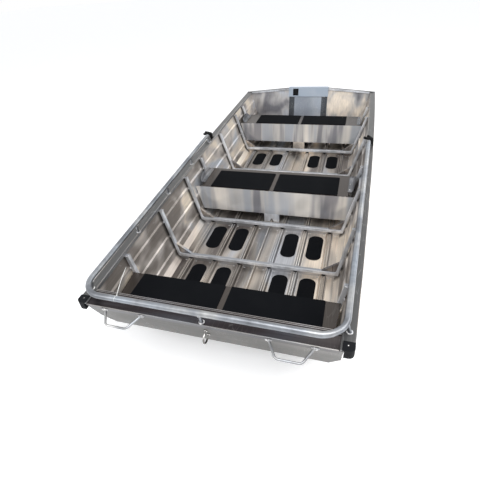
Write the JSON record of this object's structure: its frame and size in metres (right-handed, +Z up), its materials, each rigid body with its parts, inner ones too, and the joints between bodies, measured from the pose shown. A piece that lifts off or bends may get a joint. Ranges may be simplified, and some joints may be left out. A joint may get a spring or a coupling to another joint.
{
  "type": "flat-bottom aluminium fishing boat",
  "caption": "Square-bowed open boat of welded aluminium sheet with ribs, padded bench seats, a tube rail round the bow, carrying handles, swivelling rowlocks and a motor pad.",
  "frame": {"origin": "on the ground under the foot of the centre keel, halfway between the bow edge and the stern edge of the gunwales", "axes": "+X to port, +Y to the stern, +Z up"},
  "size_m": [1.5712, 3.8152, 0.559],
  "materials": {
    "hull_sheet": "mill finish sheet and extrusion, lightly brushed",
    "bright_sheet": "bright rolled sheet, almost mirror-like",
    "tube_metal": "satin tube and box section",
    "stainless": "polished stainless rod",
    "pad_foam": "matt black closed-cell foam",
    "black_rubber": "moulded rubber, satin",
    "black_nylon": "moulded nylon",
    "grey_pad": "pale grey moulded plastic board"
  },
  "bodies": {
    "hull": {"bottom_planking": "hull_sheet", "chine_port": "hull_sheet", "chine_starboard": "hull_sheet", "keel_centre": "hull_sheet", "keel_port": "hull_sheet", "keel_starboard": "hull_sheet", "side_port": "hull_sheet", "side_starboard": "hull_sheet", "bow_plate": "hull_sheet", "bow_deck": "hull_sheet", "gunwale_port": "hull_sheet", "gunwale_starboard": "hull_sheet", "transom_plate": "hull_sheet", "transom_cap_port": "hull_sheet", "transom_cap_starboard": "hull_sheet", "motor_pad": "grey_pad", "transom_panel": "bright_sheet", "rib_1": "tube_metal", "rib_2": "tube_metal", "rib_3": "tube_metal", "rib_4": "tube_metal", "rib_5": "tube_metal", "rib_6": "tube_metal", "rib_7": "tube_metal", "bench_bow": "bright_sheet", "bench_middle": "bright_sheet", "bench_stern": "bright_sheet", "bench_pad_bow_port": "pad_foam", "bench_pad_bow_starboard": "pad_foam", "bench_pad_middle_port": "pad_foam", "bench_pad_middle_starboard": "pad_foam", "bench_pad_stern_port": "pad_foam", "bench_pad_stern_starboard": "pad_foam", "bench_block_middle": "tube_metal", "bench_block_stern": "tube_metal", "floor_pad_a1": "pad_foam", "floor_pad_a2": "pad_foam", "floor_pad_a3": "pad_foam", "floor_pad_a4": "pad_foam", "floor_pad_b1": "pad_foam", "floor_pad_b2": "pad_foam", "floor_pad_b3": "pad_foam", "floor_pad_b4": "pad_foam", "floor_pad_c1": "pad_foam", "floor_pad_c2": "pad_foam", "floor_pad_c3": "pad_foam", "floor_pad_c4": "pad_foam", "rail_bow": "tube_metal", "rail_port": "tube_metal", "rail_starboard": "tube_metal", "corner_cap_port": "black_rubber", "corner_cap_starboard": "black_rubber", "bow_handle_port": "tube_metal", "bow_handle_starboard": "tube_metal", "tow_eye": "stainless", "rowlock_socket_port": "black_nylon", "rowlock_socket_starboard": "black_nylon"},
    "rowlock_port": {"rowlock_port": "black_nylon"},
    "rowlock_starboard": {"rowlock_starboard": "black_nylon"}
  },
  "joints": [
    {"name": "rowlock_port_swivel", "type": "hinge", "parent": "hull", "child": "rowlock_port", "pos_m": [0.73377, 0.318, 0.5043], "axis": [0, 0, 1], "continuous": true},
    {"name": "rowlock_starboard_swivel", "type": "hinge", "parent": "hull", "child": "rowlock_starboard", "pos_m": [-0.73377, 0.318, 0.5043], "axis": [0, 0, 1], "continuous": true}
  ]
}
